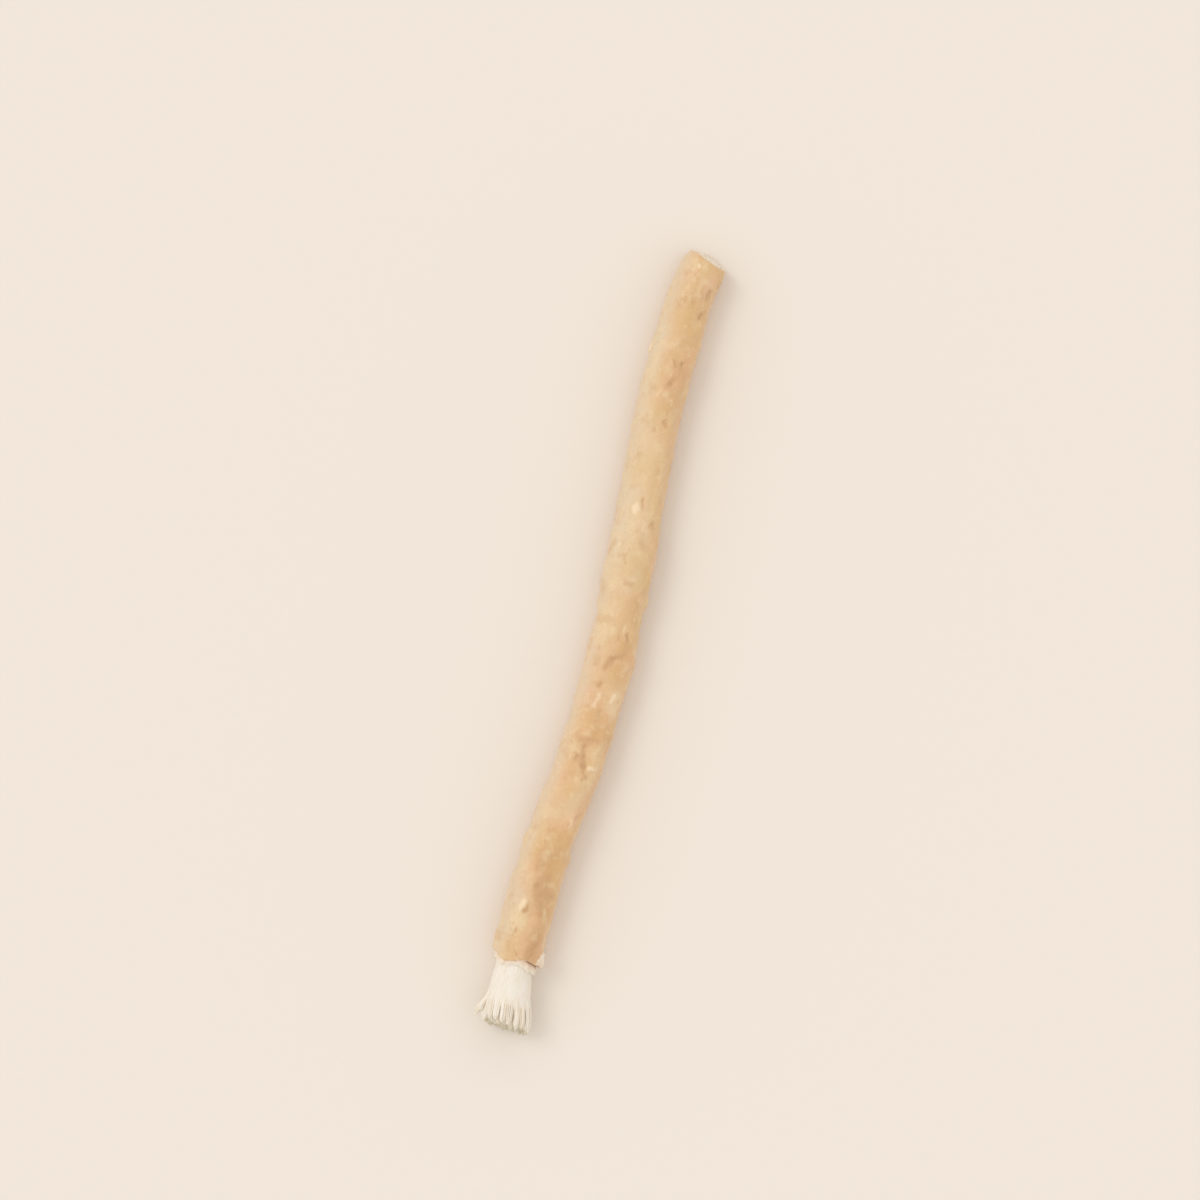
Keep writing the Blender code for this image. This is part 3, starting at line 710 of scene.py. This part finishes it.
# The colours are laid on in turn, each through a mask from 0 to 1 and at most with the share behind it
ochre = speckle(space, 5 * MM, detail=2, stretch=1.5).between(0.4, 0.62)
peach = speckle(space, 5 * MM, detail=2, stretch=1.2, seed=4).between(0.46, 0.64)
pale_spots = speckle(space, 2.2 * MM, stretch=1.1, seed=9).between(0.5, 0.72)
brown_spots = speckle(space, 2.6 * MM, stretch=1.1, seed=2).between(0.52, 0.74)
pale_specks = speckle(space, 0.8 * MM, roughness=0.6, stretch=0.7, seed=6).between(0.56, 0.7)
brown_specks = speckle(space, 0.7 * MM, roughness=0.6, stretch=0.7, seed=7).between(0.56, 0.7)
deep_streaks = speckle(space, 0.6 * MM, stretch=3, seed=6).between(0.4, 0.6)
colour = blend(BARK_TAN, BARK_OCHRE, ochre * 0.8)
colour = blend(colour, BARK_PEACH, peach * 0.6)
colour = blend(colour, BARK_ROSE, blush_here)
# Golden and pale hues, with painted light round the stick: the lit side paler, the shaded side more golden
colour = blend(colour, BARK_GOLD_AND_SHADED_SIDE, hue_here.between(-0.2, 1.2) * 0.6)
colour = blend(colour, BARK_PALE_AND_LIT_SIDE, hue_here.between(0.2, -1.4) * 0.75)
colour = blend(colour, BARK_CREAM, cloud_here.between(0.0, 1.0) * 0.8)
colour = blend(colour, CLOUD_BROWN, cloud_here.between(0.0, -1.0) * 0.75)
colour = blend(colour, BARK_CREAM, pale_spots * 0.6)
colour = blend(colour, BARK_BROWN_AND_SHADE, brown_spots * 0.5)
colour = blend(colour, BARK_CREAM, pale_specks * 0.38)
colour = blend(colour, BARK_BROWN_AND_SHADE, brown_specks * 0.34)
# Sunken marks, crevices and the lobes' split darker: partly the bark's own brown, partly painted shade;
# raised marks paler: painted highlight
colour = blend(colour, BARK_BROWN_AND_SHADE, tone_here.between(-0.05, -0.6) * 0.85)
colour = blend(colour, BARK_PIT_AND_SHADE, tone_here.between(-0.4, -1.0) * 0.8)
colour = blend(colour, BARK_FLECK_AND_HIGHLIGHT, tone_here.between(0.15, 1.0) * 0.75)
torn_colour = blend(INNER_BARK, INNER_BARK_DEEP, deep_streaks)
torn_colour = blend(torn_colour, INNER_BARK_FRONT, under_here.between(0.55, 0.8))
colour = blend(colour, torn_colour, under_here.between(0.12, 0.32))
# The groove under the lobe's edge is painted darker: painted shade
colour = blend(colour, GAP_PAINTED_SHADE, gap_here.between(0.2, 0.9))
bark_tree.links.new(colour.socket, bark_shader.inputs["Base Color"])
mealy = speckle(space, MEAL_SIZE, detail=4, roughness=0.65)
dry = BARK_ROUGHNESS - BARK_SMOOTHER * speckle(space, 1.5 * MM, seed=5)
bark_tree.links.new(dry.socket, bark_shader.inputs["Roughness"])
bark_shader.inputs["Specular IOR Level"].default_value = BARK_SHINE
bark_shader.inputs["Sheen Weight"].default_value = BARK_SHEEN
bark_shader.inputs["Sheen Roughness"].default_value = BARK_SHEEN_ROUGHNESS
bump = space.node("Bump", {}, {"Height": mealy, "Strength": MEAL_STRENGTH, "Distance": MEAL_DEPTH})
bark_tree.links.new(bump.socket, bark_shader.inputs["Normal"])
bark_mesh.materials.append(bark_material)


# The wood: the pale core of the root, in one piece from the cut end to the brush. Where the bark is peeled
# off it shows long fibre ridges, and its cut end shows the pith and the dotted rings of the root.
WOOD_RADIUS = 3.57 * MM
WOOD_SIDES = 150

# Outer radius of the bared wood and the brush, and the blunt nose of the core inside it: station and radius
BRUSH_GIRTH = [(0, 4.6), (1.5, 4.75), (3.2, 4.8), (5, 4.5), (6.5, 4.22), (8, 4.08), (9.8, 3.92),
               (10.8, 3.76), (11.8, 3.6), (13, 3.57)]
NOSE = [(3.1, 0.0), (3.1, 1.3), (3.1, 2.5), (3.3, 3.2), (3.8, 3.65), (4.4, 3.9), (5.0, 4.08), (5.5, 4.18)]

CORE_START = 5.8 * MM
CORE_END = 12.9 * MM
CORE_INSET = 0.16 * MM
CORE_FADE = 2 * MM
HIDDEN_GAP = 2 * MM
WOOD_PITCH = 0.28 * MM
HIDDEN_PITCH = 6 * MM
FACE_RINGS = [3.2, 2.8, 2.4, 2.0, 1.6, 1.2, 0.8, 0.4, 0.0]
RIDGE_WIDTH = 0.26 * MM
RIDGE_LENGTH = 14 * MM
RIDGE_HEIGHT = 0.04 * MM
BROAD_HEIGHT = 0.06 * MM
WOOD_CREASE = math.radians(50)
RING_RATE = 7.5
DOT_RATE = 2.3
FACE_STATIONS = (145 * MM, 146 * MM)
WOOD_CREAM = tint(240, 229, 211)
WOOD_LIGHT = tint(245, 237, 225)
WOOD_STRAW = tint(232, 218, 188)
WOOD_ROSE = tint(244, 231, 223)
WOOD_DOT = tint(205, 172, 122)
WOOD_PITH = tint(190, 158, 112)
WOOD_ROUGHNESS = 0.72
WOOD_SHINE = 0.3
WOOD_GRAIN_STRENGTH = 0.35
WOOD_GRAIN_DEPTH = 0.08 * MM

wood_profile = [(station * MM, radius * MM) for station, radius in NOSE]
for station in steps(CORE_START, CORE_END, WOOD_PITCH):
    inset = CORE_INSET * smooth((CORE_END - station) / CORE_FADE)
    wood_profile.append((station, along(BRUSH_GIRTH, station) - inset))
wood_profile += [(station, WOOD_RADIUS) for station in
                 steps(CORE_END + HIDDEN_GAP, STICK_LENGTH, HIDDEN_PITCH)]
wood_profile += [(STICK_LENGTH, radius * MM) for radius in FACE_RINGS]
wood_bm = turned(wood_profile, WOOD_SIDES)
for vert in wood_bm.verts:
    station, radius, angle = polar(vert)
    if CORE_START < station < STICK_LENGTH - MM:
        at = outwards(angle) * WOOD_RADIUS
        ridge = noise.noise(Vector((station / RIDGE_LENGTH, at.y / RIDGE_WIDTH, at.z / RIDGE_WIDTH)))
        broad = noise.noise(Vector((station / RIDGE_LENGTH, at.y / MM, at.z / MM)) + Vector((5, 2, 0)))
        radius += (RIDGE_HEIGHT * ridge + BROAD_HEIGHT * broad) * smooth((CORE_END - station) / MM)
    vert.co = point(station, radius, angle)
wood_mesh = bpy.data.meshes.new("root_wood")
wood_bm.to_mesh(wood_mesh)
wood_bm.free()
wood_mesh.shade_smooth()
wood_mesh.set_sharp_from_angle(angle=WOOD_CREASE)
root_wood = bpy.data.objects.new("root_wood", wood_mesh)
bpy.context.collection.objects.link(root_wood)
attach(root_wood, "root")
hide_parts("wood")

wood_material, wood_shader = plain_material("pale_root_wood")
wood_tree = wood_material.node_tree
space = Field(wood_tree).node("TexCoord", output=3)
place = space.node("SeparateXYZ", {}, {"Vector": space})
cut_y, cut_z = middle(STICK_LENGTH)
from_pith = space.node("VectorMath", {"operation": "SUBTRACT"}, {0: space, 1: (0, cut_y, cut_z)})
flattened = space.node("VectorMath", {"operation": "MULTIPLY"}, {0: from_pith, 1: (0, 1 / MM, 1 / MM)})
out = space.node("VectorMath", {"operation": "LENGTH"}, {0: flattened}, output=1)
fibrous = speckle(space, 0.22 * MM, roughness=0.6, stretch=18)
rosy_clouds = speckle(space, 3 * MM, detail=2, seed=8).between(0.5, 0.65)
straw_streaks = speckle(space, 0.5 * MM, roughness=0.6, stretch=7, seed=3).between(0.5, 0.72)
colour = blend(WOOD_CREAM, WOOD_LIGHT, fibrous.between(0.4, 0.62))
colour = blend(colour, WOOD_ROSE, rosy_clouds * 0.6)
colour = blend(colour, WOOD_STRAW, straw_streaks * 0.5)
dots = space.node("TexVoronoi", {"feature": "F1"},
                  {"Vector": flattened, "Scale": DOT_RATE, "Randomness": 0.75})
rings = space.node("Math", {"operation": "SINE"}, {0: out * RING_RATE})
dotted = dots.between(0.34, 0.2) * rings.between(-0.2, 0.6)
face = blend(WOOD_CREAM, WOOD_STRAW, rings.between(-0.6, 0.9) * 0.5)
face = blend(face, WOOD_DOT, dotted * 0.75)
face = blend(face, WOOD_PITH, out.between(0.45, 0.2))
face = blend(face, WOOD_PITH, out.between(3.2, 3.45) * 0.7)
face_starts, face_ends = (station - STICK_LENGTH / 2 for station in FACE_STATIONS)
colour = blend(colour, face, place.between(face_starts, face_ends))
wood_tree.links.new(colour.socket, wood_shader.inputs["Base Color"])
wood_shader.inputs["Roughness"].default_value = WOOD_ROUGHNESS
wood_shader.inputs["Specular IOR Level"].default_value = WOOD_SHINE
bump = space.node("Bump", {}, {"Height": fibrous, "Strength": WOOD_GRAIN_STRENGTH,
                               "Distance": WOOD_GRAIN_DEPTH})
wood_tree.links.new(bump.socket, wood_shader.inputs["Normal"])
wood_mesh.materials.append(wood_material)


# The brush: the wood's bared end, chewed apart. Its fibres cling together in tufts, split from one another
# by slots a few mm deep, and spread a little towards their blunt, uneven tips. Some are splayed aside. The
# first fibre of each tuft is a thick heart, hidden by the fine ones round it.
RING_COUNTS = [1, 5, 10, 15, 20]
ROOT_STATION = 9.4 * MM
ROOT_SINK = 0.3 * MM
FREE_STATION = 5.5 * MM
TIP_STATION = 0.72 * MM
TIP_RAGGED = 0.6 * MM
TIP_SLANT = 0.2
TIP_ACROSS = 0.05
TIP_WANDER = 0.14
TUFT_RADIUS = 0.63 * MM
SPLAYED_ANGLES = [84, 97, 90, 79, 101]
SPLAYED_STATION = 1.9 * MM
SPLAYED_SPACING = 0.35 * MM
LEAVING_STATION = 6.2 * MM
SPLAYED_REACH = 1.55 * MM
SPLAYED_RADIUS = 0.55 * MM
SPLAYED_SHORTER = 0.15
TUFT_VARIES = (0.92, 1.08)
FIBRES_IN_TUFT = 34
FIBRE_RADIUS = 0.115 * MM
FIBRE_SIDES = 5
FIBRE_STEPS = 7
FIBRE_CROWDED = 1.6
FIBRE_VARIES = (0.85, 1.15)
FIBRE_TURN = 0.2
FIBRE_WOBBLE = 0.06 * MM
WOBBLE_LENGTH = 2 * MM
WOBBLE_SHADE = 50
WOBBLE_NUMBER = 0.37
FIBRE_CREASE = math.radians(60)
TUFT_DOME = 0.62 * MM
TIP_CLOSED = 0.16
CLOSING_FROM = 0.87
CLOSING_OVER = 0.13
TIP_ROUNDED = 0.45
ROUNDED_FROM = 0.95
ROUNDED_OVER = 0.05
FIBRE_RAGGED = 0.24 * MM
SLOT_STARTS = (2.3, 4.0)
GATHERED = (0.97, 1.2)
HEART_RADIUS = 0.38 * MM
HEART_SHORT = 1.1 * MM
GOLDEN_ANGLE = math.pi * (3 - math.sqrt(5))
TUFT_SEED = 11
FIBRE_SEED = 23


def tufts():
    """Every tuft of the brush: its share of the way out, angles, tip, thickness and outward reach."""
    draw = random.Random(TUFT_SEED)
    for ring_number, count in enumerate(RING_COUNTS):
        share = ring_number / (len(RING_COUNTS) - 1)
        phase = draw.random()
        for k in range(count):
            angle = 2 * math.pi * (k + phase) / count
            tip_angle = angle + draw.uniform(-TIP_WANDER, TIP_WANDER) * 2 * math.pi / count
            slant = TIP_SLANT * math.cos(tip_angle) + TIP_ACROSS * math.sin(tip_angle)
            tip_station = TIP_STATION + draw.uniform(0, TIP_RAGGED) + slant * share * BRUSH_GIRTH[0][1] * MM
            yield share, angle, tip_angle, tip_station, TUFT_RADIUS * draw.uniform(*TUFT_VARIES), 0.0
    for k, degrees in enumerate(SPLAYED_ANGLES):
        angle = math.radians(degrees)
        reach = SPLAYED_REACH * (1 - SPLAYED_SHORTER * k)
        yield 1.0, angle, angle, SPLAYED_STATION + k * SPLAYED_SPACING, SPLAYED_RADIUS, reach


fibre_bm = bmesh.new()
bmesh.ops.create_cone(fibre_bm, cap_ends=True, segments=FIBRE_SIDES, radius1=1, radius2=1, depth=1)
lengthwise = [edge for edge in fibre_bm.edges if abs(edge.verts[0].co.z - edge.verts[1].co.z) > 0.5]
bmesh.ops.subdivide_edges(fibre_bm, edges=lengthwise, cuts=FIBRE_STEPS - 1, use_grid_fill=True)
one_fibre = bpy.data.meshes.new("one_fibre")
fibre_bm.to_mesh(one_fibre)
fibre_bm.free()

draw = random.Random(FIBRE_SEED)
fibres = []
for share, root_angle, tip_angle, tip_station, tuft_radius, reach in tufts():
    slot_start = draw.uniform(*SLOT_STARTS) * MM
    gathered = draw.uniform(*GATHERED)
    for k in range(FIBRES_IN_TUFT):
        spread = math.sqrt((k + 0.5) / FIBRES_IN_TUFT)
        round_tuft = k * GOLDEN_ANGLE + draw.uniform(-FIBRE_TURN, FIBRE_TURN)
        loose = Vector((math.cos(round_tuft), math.sin(round_tuft))) * spread
        packed = loose / max(abs(loose.x), abs(loose.y)) * spread
        end = tip_station + TUFT_DOME * spread ** 2 + draw.uniform(-1, 1) * FIBRE_RAGGED
        thick = FIBRE_RADIUS * draw.uniform(*FIBRE_VARIES)
        if k == 0:
            packed = loose = Vector((0, 0))
            thick = HEART_RADIUS
            end = tip_station + HEART_SHORT
        fibres.append((share, root_angle, tip_angle, end, tuft_radius, reach, slot_start, gathered,
                       packed, loose, thick, draw.random()))
brush_bm = bmesh.new()
for _ in fibres:
    brush_bm.from_mesh(one_fibre)
tone = brush_bm.verts.layers.float.new("tone")
tipward = brush_bm.verts.layers.float.new("tipward")
brush_bm.verts.ensure_lookup_table()
fibre_size = len(one_fibre.vertices)
for number, fibre in enumerate(fibres):
    share, root_angle, tip_angle, end, tuft_radius, reach = fibre[:6]
    slot_start, gathered, packed, loose, radius, shade = fibre[6:]
    for vert in brush_bm.verts[number * fibre_size:(number + 1) * fibre_size]:
        t = 1 - (0.5 - vert.co.z) ** FIBRE_CROWDED
        station = ROOT_STATION + (end - ROOT_STATION) * t
        sink = ROOT_SINK * smooth((station - FREE_STATION) / (ROOT_STATION - FREE_STATION))
        out = share * (along(BRUSH_GIRTH, station) - tuft_radius - sink)
        out += reach * smooth((LEAVING_STATION - station) / (LEAVING_STATION - end))
        angle = root_angle + (tip_angle - root_angle) * t
        slotted = smooth((slot_start - station) / (slot_start - end))
        beside = packed.lerp(loose * gathered, slotted) * (tuft_radius - FIBRE_RADIUS)
        beside *= 1 - TIP_CLOSED * smooth((t - CLOSING_FROM) / CLOSING_OVER)
        own = shade * WOBBLE_SHADE, number * WOBBLE_NUMBER
        wobble = noise.noise_vector(Vector((station / WOBBLE_LENGTH, *own)))
        wobble *= FIBRE_WOBBLE
        rounded = 1 - TIP_ROUNDED * smooth((t - ROUNDED_FROM) / ROUNDED_OVER)
        centre = point(station, out + beside.y, angle)
        sideways = Vector((0, math.cos(angle), -math.sin(angle)))
        centre += sideways * beside.x + Vector((0, wobble.y, wobble.z)) * 2 * t
        vert.co = centre + Vector((0, vert.co.x, vert.co.y)) * radius * rounded
        vert.co.z = max(vert.co.z, 0.0)
        vert[tone] = shade
        vert[tipward] = t
brush_mesh = bpy.data.meshes.new("brush_fibres")
brush_bm.to_mesh(brush_mesh)
brush_bm.free()
bpy.data.meshes.remove(one_fibre)
brush_mesh.shade_smooth()
brush_mesh.set_sharp_from_angle(angle=FIBRE_CREASE)
brush_fibres = bpy.data.objects.new("brush_fibres", brush_mesh)
bpy.context.collection.objects.link(brush_fibres)
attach(brush_fibres, "root")
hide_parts("wood")

FIBRE_CREAM = tint(242, 230, 212)
FIBRE_WHITE = tint(248, 240, 228)
FIBRE_STRAW = tint(238, 225, 199)
FIBRE_TIP_SHADE = tint(229, 220, 195)
FIBRE_ROUGHNESS = 0.65
FIBRE_SHINE = 0.3
FIBRE_GRAIN_STRENGTH = 0.4
FIBRE_GRAIN_DEPTH = 0.03 * MM
# Below these heights the tufts' tips are painted in shade
LOW_TIPS = 3.6 * MM
HIGH_TIPS = 6.2 * MM

fibre_material, fibre_shader = plain_material("chewed_wood_fibre")
fibre_tree = fibre_material.node_tree
space = Field(fibre_tree).node("TexCoord", output=3)
shade_here = space.node("Attribute", {"attribute_name": "tone"}, output=2)
tip_here = space.node("Attribute", {"attribute_name": "tipward"}, output=2)
place = space.node("SeparateXYZ", {}, {"Vector": space}, output=2)
colour = blend(FIBRE_CREAM, FIBRE_WHITE, shade_here.between(0.2, 0.9))
colour = blend(colour, FIBRE_STRAW, shade_here.between(0.35, 0.0) * 0.5)
straw_streaks = speckle(space, 0.3 * MM, detail=2, stretch=10).between(0.5, 0.75)
colour = blend(colour, FIBRE_STRAW, straw_streaks * 0.4)
# The lower tufts' tips, reaching out under the upper ones, are painted olive-grey, and every cut end a
# little darker: painted shade
low = place.between(HIGH_TIPS, LOW_TIPS)
colour = blend(colour, FIBRE_TIP_SHADE, tip_here.between(0.6, 0.85) * low * 0.85)
colour = blend(colour, FIBRE_TIP_SHADE, tip_here.between(0.96, 1.0) * 0.3)
fibre_tree.links.new(colour.socket, fibre_shader.inputs["Base Color"])
fibre_shader.inputs["Roughness"].default_value = FIBRE_ROUGHNESS
fibre_shader.inputs["Specular IOR Level"].default_value = FIBRE_SHINE
fine_grain = speckle(space, 0.06 * MM, detail=2, stretch=12)
bump = space.node("Bump", {}, {"Height": fine_grain, "Strength": FIBRE_GRAIN_STRENGTH,
                               "Distance": FIBRE_GRAIN_DEPTH})
fibre_tree.links.new(bump.socket, fibre_shader.inputs["Normal"])
brush_mesh.materials.append(fibre_material)
